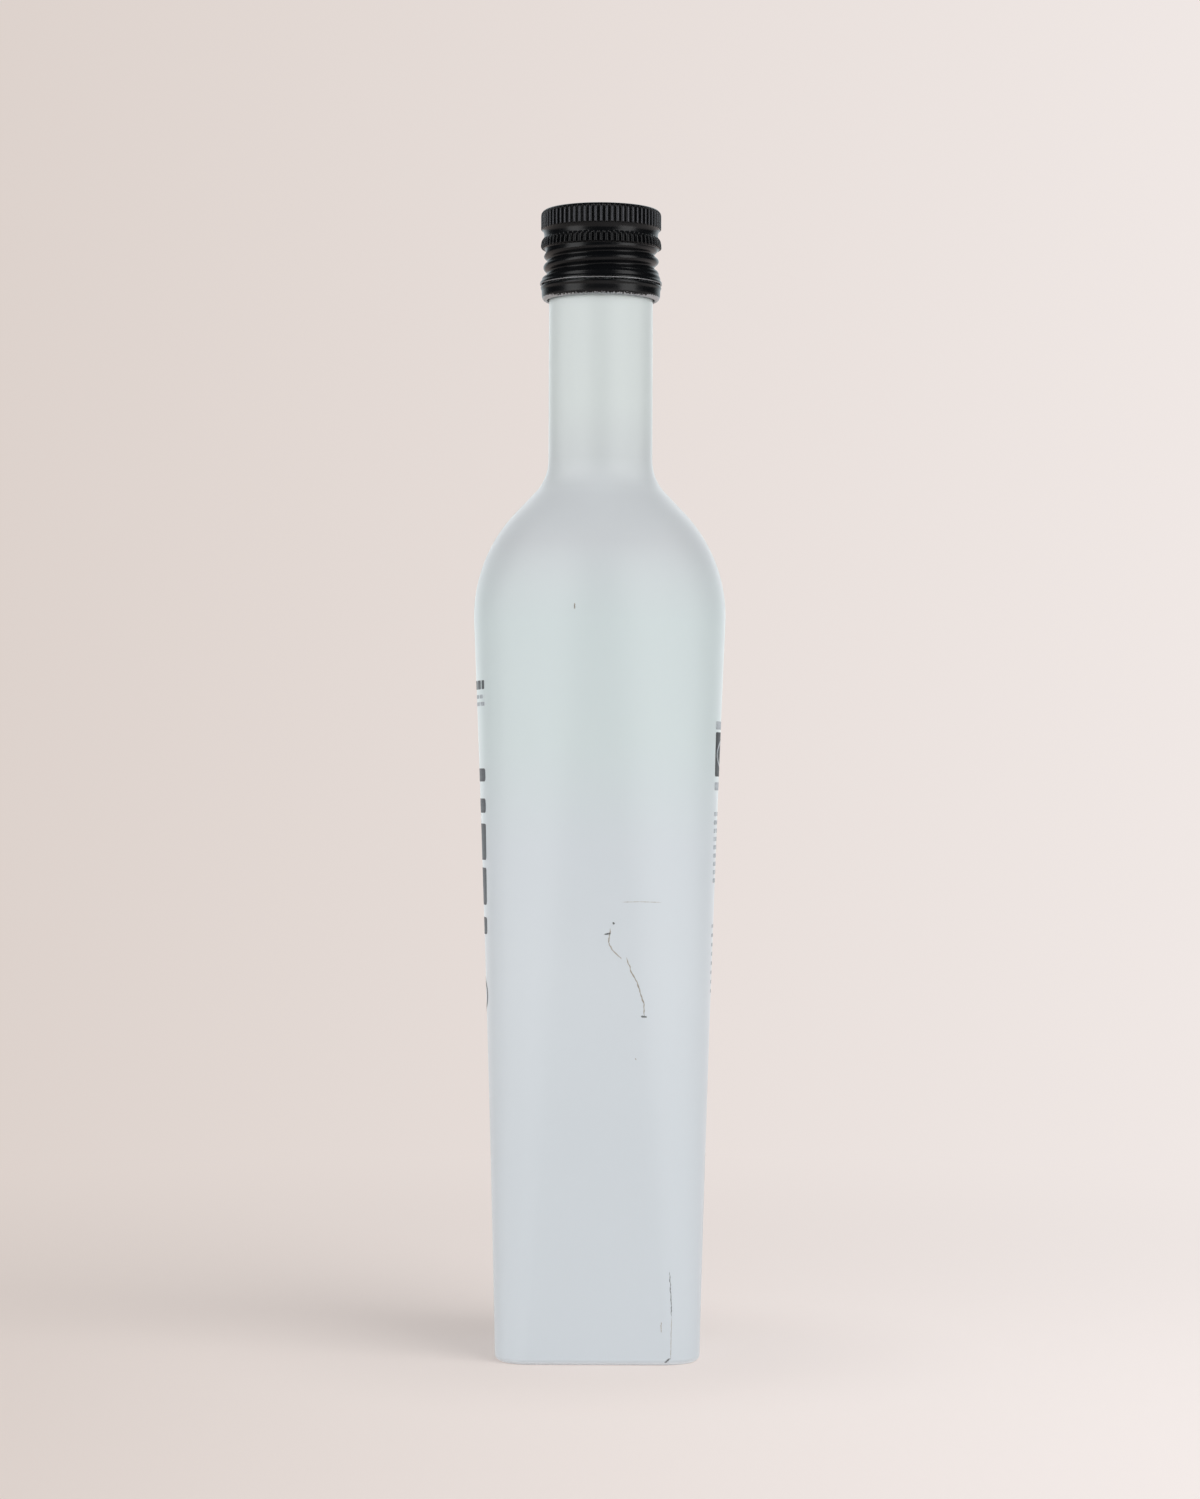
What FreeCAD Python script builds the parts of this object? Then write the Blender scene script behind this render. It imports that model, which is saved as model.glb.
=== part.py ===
"""A square-based oil bottle of coated glass with a black screw cap and its tamper ring.

Frame: millimetres, +Z up, origin at the centre of the base, on the surface the bottle
stands on. The four flats face +X, -X, +Y and -Y, and the front is -Y.

Three solids, each in its own file under parts/:
  bottle       the closed, filled glass body, its neck and the plain finish under the cap
  cap          the knurled, thread-rolled screw cap
  tamper_ring  the band below the cap's cut line, with the bridges that still hold it
"""
import FreeCAD, Part
import math
import os

from FreeCAD import Vector

# ---------------------------------------------------------------- bottle, mm and degrees
base_width = 52.6            # across two flats, at the foot
base_corner_radius = 9.5     # of the foot's four upright corners
heel_radius = 1.6            # round between the foot and the walls
bearing_width = 5.0          # flat ring that the bottle stands on
push_up_depth = 1.5          # hollow of the base inside that ring

shoulder_width = 65.9        # diameter at the widest place, where the section is round
shoulder_height = 192.2      # of that place above the foot
shoulder_arc_radius = 39.1   # of the round shoulder, seen from the side
shoulder_run_in = 2.5        # lean of the walls where they meet the shoulder arc
shoulder_slope = 43.7        # steepest lean of the shoulder, from the upright
corner_fade = 19.0           # height over which the last of the flats melts away

neck_diameter = 27.2
neck_arc_radius = 12.8       # of the hollow curve between shoulder and neck
neck_length = 41.5           # straight neck that shows below the tamper ring

bead_height = 2.2            # lock bead on the glass that holds the tamper ring
bead_stand_out = 1.2
bead_bevel = 0.5

# ------------------------------------------------------------------- cap and tamper ring
cap_clearance = 0.15         # between the finish and the cap's bore, all round
cap_wall = 1.4               # from the bore to the thread's crests
cap_skirt_height = 19.45     # from the cut line to the top
cap_top_thickness = 1.8
cap_edge_radius = 1.5        # round of the top's rim

knurl_count = 68
knurl_stand_out = 0.6        # of the knurls beyond the thread's crests
flute_depth = 0.35
flute_width = 0.85
upper_knurl_height = 5.05    # from the top down
recess_height = 2.55         # smooth groove between the two rows of knurls
lower_knurl_height = 2.3     # flares out to a sharp lip
flute_start = 0.75           # below the top
lip_bevel = 0.35

thread_pitch = 3.3
thread_depth = 0.75
thread_groove_radius = 1.0
thread_start_angle = 150.0   # of the groove's lower end, from +X
thread_rise = 2.2            # from the cut line to the groove's lower end
thread_head = 0.04           # between the groove's upper end and the lower knurls

skirt_flare_height = 2.3     # of the cone above the cut line
skirt_flare = 0.85           # of its foot beyond the thread's crests
skirt_land = 0.45            # upright edge of that foot

cut_gap = 0.3                # between the cap and the tamper ring
bridge_count = 9
bridge_width = 1.1
bridge_thickness = 0.45

ring_height = 3.95
ring_clearance = 0.2         # between the lock bead and the ring, all round
ring_wall = 0.8
ring_taper = 0.2             # by which the ring draws in towards its foot
hem_height = 0.9             # of the hem that turns in under the lock bead
hem_clearance = 0.3          # between the hem and the bead above it
hem_gap = 0.5                # between the hem and the neck, all round
hem_radius = 1.2             # round of the hem's outer edge

# ----------------------------------------------------------------------- worked out sizes
neck_radius = neck_diameter / 2
shoulder_half = shoulder_width / 2
base_half = base_width / 2

# The slope is limited where the step from neck to shoulder is too small for both arcs.
shoulder_step = shoulder_half - neck_radius
arc_sum = shoulder_arc_radius + neck_arc_radius
slope = min(math.radians(shoulder_slope), math.acos(max(1 - shoulder_step / arc_sum, -1)))
run_in = math.radians(shoulder_run_in)
straight_step = shoulder_step - arc_sum * (1 - math.cos(slope))
straight_height = straight_step / math.tan(slope)

wall_top = shoulder_height - shoulder_arc_radius * math.sin(run_in)
wall_top_half = shoulder_half - shoulder_arc_radius * (1 - math.cos(run_in))
arc_top = shoulder_height + shoulder_arc_radius * math.sin(slope)
arc_top_half = shoulder_half - shoulder_arc_radius * (1 - math.cos(slope))
neck_arc_foot = arc_top + straight_height
neck_foot = neck_arc_foot + neck_arc_radius * math.sin(slope)

ring_foot = neck_foot + neck_length
ring_top = ring_foot + ring_height
cap_foot = ring_top + cut_gap
cap_top = cap_foot + cap_skirt_height
finish_top = cap_top - cap_top_thickness

bore_radius = neck_radius + cap_clearance
crest_radius = bore_radius + cap_wall
knurl_radius = crest_radius + knurl_stand_out
skirt_radius = crest_radius + skirt_flare
knurl_reach = upper_knurl_height + recess_height + lower_knurl_height + lip_bevel
thread_span = cap_skirt_height - knurl_reach - thread_rise - thread_groove_radius - thread_head
thread_turns = thread_span / thread_pitch
bead_radius = neck_radius + bead_stand_out
ring_bore_radius = bead_radius + ring_clearance
ring_radius = ring_bore_radius + ring_wall
hem_bore_radius = neck_radius + hem_gap
bead_foot = ring_foot + hem_height + hem_clearance

section_points = 64          # of the spline through each level of the body
wall_levels = 10
arc_levels = 6


def half_width(z):
    """Half the width across two flats at height z, from the foot to the neck.

    The wall is a parabola that starts at the foot and leaves tangent to the shoulder arc.
    Then come the shoulder arc, a straight cone and the hollow neck arc.
    """
    if z <= wall_top:
        top_lean = math.tan(run_in)
        foot_lean = 2 * (wall_top_half - base_half) / wall_top - top_lean
        return base_half + foot_lean * z + (top_lean - foot_lean) * z * z / (2 * wall_top)
    if z <= arc_top:
        rise = z - shoulder_height
        return shoulder_half - shoulder_arc_radius + math.sqrt(shoulder_arc_radius**2 - rise**2)
    if z <= neck_arc_foot:
        return arc_top_half - (z - arc_top) * math.tan(slope)
    drop = neck_foot - z
    return neck_radius + neck_arc_radius - math.sqrt(neck_arc_radius**2 - drop**2)


def flat_half(z):
    """Half the width of each flat at height z: it narrows evenly and closes at the shoulder.

    Within corner_fade of the shoulder the straight fall turns into a parabola that ends level.
    """
    foot = base_half - base_corner_radius
    fade = corner_fade / shoulder_height
    left = 1 - z / shoulder_height
    if left >= fade:
        return foot * left
    return foot * max(left + fade, 0) ** 2 / (4 * fade)


def section_radius(angle, half, flat):
    """Distance from the axis to a rounded square of that half width and flat, at that angle."""
    quarter = math.pi / 2
    turned = abs((angle + quarter / 2) % quarter - quarter / 2)
    if half * math.tan(turned) <= flat:
        return half / math.cos(turned)
    corner = half - flat
    along = flat * (math.cos(turned) + math.sin(turned))
    return along + math.sqrt(along**2 - 2 * flat**2 + corner**2)


def section(z, inset=0.0):
    """Closed spline through the outline at height z, drawn in by inset."""
    half = half_width(z) - inset
    flat = min(flat_half(z), half)
    angles = [2 * math.pi * i / section_points for i in range(section_points)]
    radii = [section_radius(a, half, flat) for a in angles]
    points = [Vector(r * math.cos(a), r * math.sin(a), z) for r, a in zip(radii, angles)]
    curve = Part.BSplineCurve()
    steps = [i / section_points for i in range(section_points + 1)]
    curve.interpolate(Points=points, PeriodicFlag=True, Parameters=steps)
    return Part.Wire(curve.toShape())


def body_levels():
    """Heights of the sections: even up the wall, closer together round the two arcs."""
    wall = [wall_top * i / wall_levels for i in range(wall_levels)]
    turn = [-run_in + (slope + run_in) * i / arc_levels for i in range(arc_levels + 1)]
    shoulder = [shoulder_height + shoulder_arc_radius * math.sin(a) for a in turn]
    turn = [slope * (1 - i / arc_levels) for i in range(arc_levels + 1)]
    neck = [neck_foot - neck_arc_radius * math.sin(a) for a in turn]
    levels = wall + shoulder
    return levels + [z for z in neck if z - levels[-1] > 0.1]


def flat_ring_hollow():
    """Shallow dome cut into the base, inside the bearing ring."""
    rim = base_half - heel_radius - bearing_width
    dome = (rim**2 + push_up_depth**2) / (2 * push_up_depth)
    return Part.makeSphere(dome, Vector(0, 0, push_up_depth - dome))


def revolved(points):
    """Solid of revolution about the axis, from a closed outline of (radius, height)."""
    outline = [Vector(r, 0, z) for r, z in points]
    face = Part.Face(Part.makePolygon(outline + outline[:1]))
    return face.revolve(Vector(0, 0, 0), Vector(0, 0, 1), 360)


def lock_bead():
    """Ring on the glass that the tamper ring's hem hooks under."""
    inner = neck_radius - bead_stand_out
    foot, top = bead_foot, bead_foot + bead_height
    return revolved([
        (inner, foot),
        (bead_radius - bead_bevel, foot),
        (bead_radius, foot + bead_bevel),
        (bead_radius, top - bead_bevel),
        (bead_radius - bead_bevel, top),
        (inner, top),
    ])


def make_bottle():
    """Body, shoulder, neck and finish as one closed solid: what is inside can't be seen."""
    wall = Part.makeLoft([section(z) for z in body_levels()], False, False)
    rings = [e for e in wall.Edges if e.isClosed() and e.BoundBox.ZLength < 0.01]
    rings.sort(key=lambda e: e.BoundBox.ZMin)
    foot_edge, neck_edge = rings[0], rings[-1]
    neck = neck_edge.extrude(Vector(0, 0, finish_top - neck_foot))
    top_edges = [e for e in neck.Edges if e.BoundBox.ZMin > finish_top - 0.01]
    foot = Part.Face(Part.Wire(foot_edge))
    top = Part.Face(Part.Wire(top_edges))
    shell = Part.makeShell(wall.Faces + neck.Faces + [foot, top])
    shell.sewShape()
    bottle = Part.makeSolid(shell)
    bottle.fix(0.001, 0.001, 0.001)
    heel = [e for e in bottle.Edges if e.BoundBox.ZMax < 0.01]
    bottle = bottle.makeFillet(heel_radius, heel)
    return bottle.fuse(lock_bead()).cut(flat_ring_hollow())


def flutes(foot, top):
    """V-shaped prisms that leave the knurls standing between them, between two heights."""
    reach = flute_width / 2
    floor = knurl_radius - flute_depth
    outline = [Vector(floor, 0, foot)]
    outline.append(Vector(floor + 2 * flute_depth, 2 * reach, foot))
    outline.append(Vector(floor + 2 * flute_depth, -2 * reach, foot))
    face = Part.Face(Part.makePolygon(outline + outline[:1]))
    prism = face.extrude(Vector(0, 0, top - foot))
    prisms = []
    for i in range(knurl_count):
        turned = prism.copy()
        turned.rotate(Vector(0, 0, 0), Vector(0, 0, 1), 360 * i / knurl_count)
        prisms.append(turned)
    return prisms


def thread_groove():
    """Round-bottomed groove rolled into the skirt along a right-hand helix."""
    centre = crest_radius + thread_groove_radius - thread_depth
    rise = thread_pitch * thread_turns
    helix = Part.makeHelix(thread_pitch, rise, centre)
    start = Vector(centre, 0, 0)
    across = Vector(0, 2 * math.pi * centre, thread_pitch)
    profile = Part.Wire(Part.makeCircle(thread_groove_radius, start, across))
    groove = Part.Wire(helix.Edges).makePipeShell([profile], True, True)
    turned = 2 * math.pi * thread_turns
    end = Vector(centre * math.cos(turned), centre * math.sin(turned), rise)
    solids = [groove] + [Part.makeSphere(thread_groove_radius, p) for p in (start, end)]
    for solid in solids:
        solid.rotate(Vector(0, 0, 0), Vector(0, 0, 1), thread_start_angle)
        solid.translate(Vector(0, 0, cap_foot + thread_rise))
    return solids


def make_cap():
    """Screw cap: a turned blank, less its two rows of flutes and its thread groove."""
    recess_top = cap_top - upper_knurl_height
    recess_foot = recess_top - recess_height
    lip = recess_foot - lower_knurl_height
    blank = revolved([
        (0, cap_top),
        (knurl_radius, cap_top),
        (knurl_radius, recess_top),
        (crest_radius, recess_top - lip_bevel),
        (crest_radius, recess_foot),
        (knurl_radius, lip),
        (crest_radius, lip - lip_bevel),
        (crest_radius, cap_foot + skirt_land + skirt_flare_height),
        (skirt_radius, cap_foot + skirt_land),
        (skirt_radius, cap_foot),
        (bore_radius, cap_foot),
        (bore_radius, finish_top),
        (0, finish_top),
    ])
    rim = [e for e in blank.Edges if e.BoundBox.ZMin > cap_top - 0.01 and e.BoundBox.XMax > 1]
    cap = blank.makeFillet(cap_edge_radius, rim)
    for solid in thread_groove():
        cap = cap.cut(solid)
    cap = cap.cut(flutes(lip - lip_bevel, recess_foot))
    return cap.cut(flutes(recess_foot, cap_top - flute_start))


def bridge(angle):
    """One of the bridges between the ring and the cap, centred at that angle."""
    depth = bridge_thickness
    tab = Part.makeBox(depth, bridge_width, 2 * cut_gap)
    tab.translate(Vector(ring_radius - ring_taper - depth, -bridge_width / 2, ring_top - cut_gap))
    tab.rotate(Vector(0, 0, 0), Vector(0, 0, 1), angle)
    return tab


def make_tamper_ring():
    """Band left below the cut line, with a hem that turns in under the lock bead."""
    foot_radius = ring_radius - ring_taper
    band = revolved([
        (ring_bore_radius, ring_top),
        (ring_radius, ring_top),
        (foot_radius, ring_foot),
        (hem_bore_radius, ring_foot),
        (hem_bore_radius, ring_foot + hem_height),
        (ring_bore_radius, ring_foot + hem_height),
    ])
    hem = [e for e in band.Edges if e.BoundBox.ZMax < ring_foot + 0.01
           and e.BoundBox.XMax > hem_bore_radius + hem_radius]
    band = band.makeFillet(hem_radius, hem)
    tabs = [bridge(-90 + 360 * i / bridge_count) for i in range(bridge_count)]
    return band.fuse(tabs).removeSplitter()


os.makedirs("parts", exist_ok=True)
for name, make in (("bottle", make_bottle), ("cap", make_cap), ("tamper_ring", make_tamper_ring)):
    solid = make()
    box = solid.BoundBox
    print(name, solid.ShapeType, len(solid.Solids), "valid", solid.isValid(),
          "volume %.1f" % solid.Volume, "z %.2f to %.2f" % (box.ZMin, box.ZMax),
          "x %.2f to %.2f" % (box.XMin, box.XMax))
    solid.exportStep("parts/%s.step" % name)
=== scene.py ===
# Oil bottle of coated glass: the looks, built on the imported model.
import math
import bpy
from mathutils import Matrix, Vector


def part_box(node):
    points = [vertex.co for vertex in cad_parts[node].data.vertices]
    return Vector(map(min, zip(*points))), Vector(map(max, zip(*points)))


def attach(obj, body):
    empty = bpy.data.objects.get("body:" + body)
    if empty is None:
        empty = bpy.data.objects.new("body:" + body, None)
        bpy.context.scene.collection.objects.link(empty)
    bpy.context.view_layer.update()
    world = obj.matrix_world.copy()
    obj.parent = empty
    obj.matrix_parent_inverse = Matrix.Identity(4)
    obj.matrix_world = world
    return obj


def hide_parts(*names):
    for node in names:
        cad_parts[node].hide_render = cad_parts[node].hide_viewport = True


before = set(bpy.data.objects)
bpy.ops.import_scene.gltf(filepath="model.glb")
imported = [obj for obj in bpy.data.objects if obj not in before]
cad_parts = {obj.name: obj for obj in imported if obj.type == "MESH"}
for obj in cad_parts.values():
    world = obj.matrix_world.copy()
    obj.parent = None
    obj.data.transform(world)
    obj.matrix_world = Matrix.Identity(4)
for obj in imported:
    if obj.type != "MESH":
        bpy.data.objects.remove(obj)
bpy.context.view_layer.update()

from types import SimpleNamespace

import bpy
import numpy as np
from bpy.props import FloatProperty, FloatVectorProperty, IntProperty, PointerProperty
from mathutils import Vector

bl_info = {
    "name": "Oil Bottle",
    "version": (1, 0, 0),
    "blender": (4, 5, 0),
    "location": "View3D > Sidebar > Oil Bottle",
    "description": "A square-based oil bottle of coated glass with a black screw cap",
    "category": "Add Mesh",
}

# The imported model's own box and heights, in metres: +Z up, the front is -Y.
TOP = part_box("cap")[1][2]
CAP_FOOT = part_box("cap")[0][2]
RING_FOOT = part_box("tamper_ring")[0][2]
FINISH_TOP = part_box("bottle")[1][2]

MM = 0.001
# The glass is drawn in by the thickness of its ink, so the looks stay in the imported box.
INK = 0.03 * MM


def srgb(text):
    """Turn a hex colour, as a paint chart gives it, into linear red, green and blue."""
    part = np.array([int(text[i:i + 2], 16) for i in (1, 3, 5)]) / 255
    linear = np.where(part <= 0.04045, part / 12.92, ((part + 0.055) / 1.055) ** 2.4)
    return tuple(float(c) for c in linear)


# ------- settings
def length(name, description, default):
    """A length property that Blender shows in the scene's unit."""
    return FloatProperty(name=name, description=description, default=default, min=0,
                         precision=5, subtype="DISTANCE", unit="LENGTH")


def amount(name, description, default, **limits):
    """A plain number property that isn't negative."""
    return FloatProperty(name=name, description=description, default=default, min=0, **limits)


def turn_by(name, description, degrees):
    """An angle property, from degrees."""
    return FloatProperty(name=name, description=description, default=math.radians(degrees),
                         subtype="ANGLE", unit="ROTATION")


def radiances(name, default):
    """The radiances of one side's three softboxes."""
    return FloatVectorProperty(name=name, default=default, min=0,
                               description="Radiance of the front, side and rim boxes")


def colour(name, description, default):
    """A colour property, from an sRGB hex value."""
    return FloatVectorProperty(name=name, description=description, default=srgb(default),
                               size=3, min=0, max=1, subtype="COLOR")


class GlassSettings(bpy.types.PropertyGroup):
    """Sizes and colours of the glass body."""
    base_width: length("Base width", "Across two flats at the foot", 0.0526)
    base_corner: length("Base corner", "Radius of the foot's upright corners", 0.0095)
    heel: length("Heel", "Round between the foot and the walls", 0.0016)
    bearing: length("Bearing", "Width of the flat ring it stands on", 0.005)
    push_up: length("Push-up", "Depth of the hollow under the base", 0.0015)
    shoulder_width: length("Shoulder width", "Diameter at the widest place", 0.0659)
    shoulder_height: length("Shoulder height", "Height of the widest place", 0.1922)
    shoulder_arc: length("Shoulder arc", "Radius of the round shoulder", 0.0391)
    corner_fade: length("Corner fade", "Height over which the flats melt away", 0.019)
    neck_width: length("Neck width", "Diameter of the neck", 0.0272)
    neck_arc: length("Neck arc", "Radius of the curve below the neck", 0.0128)
    run_in: turn_by("Run-in", "Lean of the walls at the shoulder", 2.5)
    slope: turn_by("Slope", "Steepest lean of the shoulder", 43.7)
    neck_colour: colour("Neck", "Coating on the neck", "#CFD6D5")
    # painted shade: the shoulder's colour is darkened where little light falls from overhead
    shoulder_painted_shade: colour("Shoulder", "Coating on the shoulder", "#C4C8CB")
    wall_colour: colour("Wall", "Coating on the walls", "#D0D7DC")
    upper_colour: colour("Upper walls", "Coating below the shoulder", "#CED9DA")
    # partly painted light: the coating's bluish tone at the foot, set a little paler against the
    # dimmer light there
    foot_tone_and_painted_light: colour("Foot", "Coating at the foot", "#C5CDD3")
    # painted light: the heel is paler than the coating, to lift the shade where the glass meets the
    # floor
    heel_painted_light: colour("Heel", "Coating rubbed pale round the heel", "#EAF1F6")


class ClosureSettings(bpy.types.PropertyGroup):
    """Sizes and colours of the screw cap and its tamper ring."""
    knurl_radius: length("Knurl radius", "Cap radius over the knurls", 0.01575)
    crest_radius: length("Crest radius", "Cap radius over the thread", 0.01515)
    skirt_radius: length("Skirt radius", "Cap radius at the cut line", 0.016)
    bore_radius: length("Bore radius", "Inside of the cap", 0.01375)
    ring_radius: length("Ring radius", "Outside of the tamper ring", 0.0158)
    ring_bore: length("Ring bore", "Inside of the tamper ring", 0.015)
    rim_radius: length("Rim radius", "Round of the top's rim", 0.0015)
    flute_depth: length("Flute depth", "Depth between the knurls", 0.0006)
    groove_depth: length("Groove depth", "Depth of the rolled thread", 0.0012)
    pitch: length("Pitch", "Rise of the thread for each turn", 0.0033)
    knurls: IntProperty(name="Knurls", description="Knurls round the cap", default=68, min=8)
    bridges: IntProperty(name="Bridges", description="Bridges of the ring", default=9, min=1)
    bridge_width: length("Bridge width", "Width of each bridge", 0.0011)
    bridge_depth: length("Bridge depth", "Thickness of each bridge", 0.0005)
    cut_gap: length("Cut gap", "Gap between the cap and its ring", 0.0003)
    lacquer: colour("Lacquer", "Stoved lacquer of cap and ring", "#08090B")
    # painted highlight: grey on the knurls' crests stands for the light lines that they catch
    crest: colour("Rubbed crests", "Lacquer on the crests of the knurls", "#38393D")
    bare: colour("Bare metal", "Aluminium at the cut edges", "#A6A8AB")


class PrintSettings(bpy.types.PropertyGroup):
    """Plain shapes printed on the two sides, and the marks of use on the front."""
    left_half: length("Left print", "Half the width of the print on the left side", 0.0135)
    right_half: length("Right print", "Half the width of the print on the right", 0.012)
    ink: colour("Ink", "Screen-printed ink on the left", "#4E5054")
    panel_ink: colour("Panel ink", "Ink of the dark panel on the right", "#1F2124")
    light_ink: colour("Light ink", "Second, paler ink", "#9EA3A8")
    dirt: colour("Dirt", "Dirt in the scratches", "#A09A90")
    chip: colour("Chip", "Bare edge of the crack", "#7E8284")


class StudioSettings(bpy.types.PropertyGroup):
    """Camera, lights and floor."""
    distance: length("Distance", "From the camera to the bottle's axis", 0.94)
    eye: length("Eye height", "Height of the camera over the floor", 0.148)
    lens: amount("Lens", "Focal length in millimetres", 86.12)
    shift: amount("Frame shift", "Upwards, as a share of the frame's longer side", 0.02368)
    roll: turn_by("Roll", "Tilt of the camera about its view", -0.2)
    # painted fall-off of light: the paper is darker on the left and paler on the right
    backdrop_left_shaded: colour("Backdrop left", "Paper on the left", "#DDD2CC")
    backdrop_right_lit: colour("Backdrop right", "Paper on the right", "#F0E8E5")
    backdrop_spread: amount("Backdrop spread", "Slope of the view at which each is full", 0.17)
    boxes_left: radiances("Left softboxes", (1.6, 1.36, 0.8))
    boxes_right: radiances("Right softboxes", (1.7, 1.28, 0.8))
    cap_boxes: amount("Cap softboxes", "Radiance of the cap's two boxes", 3.1)
    key: amount("Key", "Radiance of the high lamp", 4.1)
    fill: amount("Fill", "Even light from all round", 0.92)
    room: amount("Room", "Reflected light of the room in front", 0.02)
    rim: amount("Rim", "Strength of the backdrop in reflections", 1.4)
    rim_light: colour("Rim light", "Light that the backdrop throws on the rims", "#E2ECF0")
    floor_glow: amount("Floor glow", "The paper's own even glow", 0.42, max=1)
    floor_shade: amount("Floor shade", "Paper's share of its colour", 0.85, max=1)
    # painted contact shadow: the share of the paper's colour that is left right round the foot
    painted_foot_shadow: amount("Foot shade", "What is left of it round the foot", 0.84, max=1)


class OilBottleSettings(bpy.types.PropertyGroup):
    """All the settings of the bottle, its closure, its print and the studio."""
    glass: PointerProperty(type=GlassSettings, name="Glass", description="The glass body")
    closure: PointerProperty(type=ClosureSettings, name="Closure", description="Cap and ring")
    print: PointerProperty(type=PrintSettings, name="Print", description="Print and marks")
    studio: PointerProperty(type=StudioSettings, name="Studio", description="The studio")


# ------- meshes
def add_piece(name, points, faces, material, body="root"):
    """One smooth mesh object at the origin, from an (n, 3) array of points and a list of
    face arrays, each (m, 3) or (m, 4), that all point outwards."""
    mesh = bpy.data.meshes.new(name)
    sizes = np.concatenate([np.full(len(f), f.shape[1]) for f in faces])
    loops = np.concatenate([f.ravel() for f in faces])
    mesh.vertices.add(len(points))
    mesh.vertices.foreach_set("co", np.asarray(points, dtype=np.float32).ravel())
    mesh.loops.add(len(loops))
    mesh.loops.foreach_set("vertex_index", loops.astype(np.int32))
    mesh.polygons.add(len(sizes))
    mesh.polygons.foreach_set("loop_start", (np.cumsum(sizes) - sizes).astype(np.int32))
    mesh.polygons.foreach_set("use_smooth", np.full(len(sizes), True))
    mesh.update(calc_edges=True)
    mesh.validate()
    mesh.materials.append(material)
    piece = bpy.data.objects.new(name, mesh)
    bpy.context.scene.collection.objects.link(piece)
    if body:
        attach(piece, body)
    return piece


def turned_faces(rows, columns):
    """Quads of a grid whose columns run once round and close on themselves, for points laid
    out row by row from the foot up, anticlockwise seen from above."""
    row = np.arange(rows - 1)[:, None] * columns
    here = np.arange(columns)[None, :]
    there = (here + 1) % columns
    quads = np.stack([row + here, row + there, row + columns + there, row + columns + here], -1)
    return quads.reshape(-1, 4)


def round_the_axis(radius, height, angle):
    """Points (r cos a, r sin a, z) row by row, with r = radius[i, j], z = height[i, j] and
    a = angle[j] at row i and column j."""
    points = np.stack([radius * np.cos(angle), radius * np.sin(angle), height], -1)
    return points.reshape(-1, 3)


def closed_turning(radius, height, angle):
    """Points and faces of a surface that runs round the Z axis and is closed at both poles:
    the first and last rows meet in a point on the axis."""
    rows, columns = radius.shape
    points = round_the_axis(radius, height, angle)
    count = len(points)
    ends = np.array([[0, 0, height[0].mean()], [0, 0, height[-1].mean()]])
    here = np.arange(columns)
    there = (here + 1) % columns
    last = (rows - 1) * columns
    first_fan = np.stack([np.full(columns, count), there, here], -1)
    last_fan = np.stack([np.full(columns, count + 1), last + here, last + there], -1)
    return np.vstack([points, ends]), [turned_faces(rows, columns), first_fan, last_fan]


def closed_band(radius, height, angle):
    """Points and faces of a hollow band: rows of (radius, height) that run up the outside
    and back down the inside, the last row joined to the first again."""
    rows, columns = radius.shape
    quads = turned_faces(rows + 1, columns) % (rows * columns)
    return round_the_axis(radius, height, angle), [quads]


def patch_grid(n, rows, columns):
    """Quads of n open grids of points, whose rows follow one another."""
    start = np.arange(n)[:, None, None] * rows * columns
    row = np.arange(rows - 1)[None, :, None] * columns
    here = start + row + np.arange(columns - 1)[None, None, :]
    quads = np.stack([here, here + 1, here + columns + 1, here + columns], -1)
    return quads.reshape(-1, 4)


# ------- the shape of the glass
def glass_shape(g):
    """The heights and radii where the lines and arcs of the bottle's side meet."""
    half, neck = g.shoulder_width / 2 - INK, g.neck_width / 2
    arc_top = g.shoulder_height + g.shoulder_arc * math.sin(g.slope)
    arc_half = half - g.shoulder_arc * (1 - math.cos(g.slope))
    straight = half - neck - (g.shoulder_arc + g.neck_arc) * (1 - math.cos(g.slope))
    cone_top = arc_top + straight / math.tan(g.slope)
    wall_top = g.shoulder_height - g.shoulder_arc * math.sin(g.run_in)
    wall_half = half - g.shoulder_arc * (1 - math.cos(g.run_in))
    return SimpleNamespace(
        half=half, neck=neck, arc_top=arc_top, arc_half=arc_half, cone_top=cone_top,
        wall_top=wall_top, wall_half=wall_half, base=g.base_width / 2,
        neck_foot=cone_top + g.neck_arc * math.sin(g.slope))


def half_width(g, z):
    """Half the width across the flats at height z: a parabola up the wall, an arc round the
    shoulder, a straight cone, a hollow arc and the straight neck."""
    s = glass_shape(g)
    lean = math.tan(g.run_in)
    foot_lean = 2 * (s.wall_half - s.base) / s.wall_top - lean
    wall = s.base + foot_lean * z + (lean - foot_lean) * z * z / (2 * s.wall_top)
    rise = np.clip(z - g.shoulder_height, -g.shoulder_arc, g.shoulder_arc)
    arc = s.half - g.shoulder_arc + np.sqrt(g.shoulder_arc**2 - rise**2)
    cone = s.arc_half - (z - s.arc_top) * math.tan(g.slope)
    drop = np.clip(s.neck_foot - z, 0, g.neck_arc)
    hollow = s.neck + g.neck_arc - np.sqrt(g.neck_arc**2 - drop**2)
    return np.select([z <= s.wall_top, z <= s.arc_top, z <= s.cone_top], [wall, arc, cone], hollow)


def flat_half(g, z):
    """Half the width of each flat at height z: it falls evenly to nothing at the shoulder,
    the last stretch as a parabola."""
    foot = g.base_width / 2 - g.base_corner
    fade = g.corner_fade / g.shoulder_height
    left = 1 - z / g.shoulder_height
    tail = foot * np.maximum(left + fade, 0) ** 2 / (4 * fade)
    return np.where(left >= fade, foot * left, tail)


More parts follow.
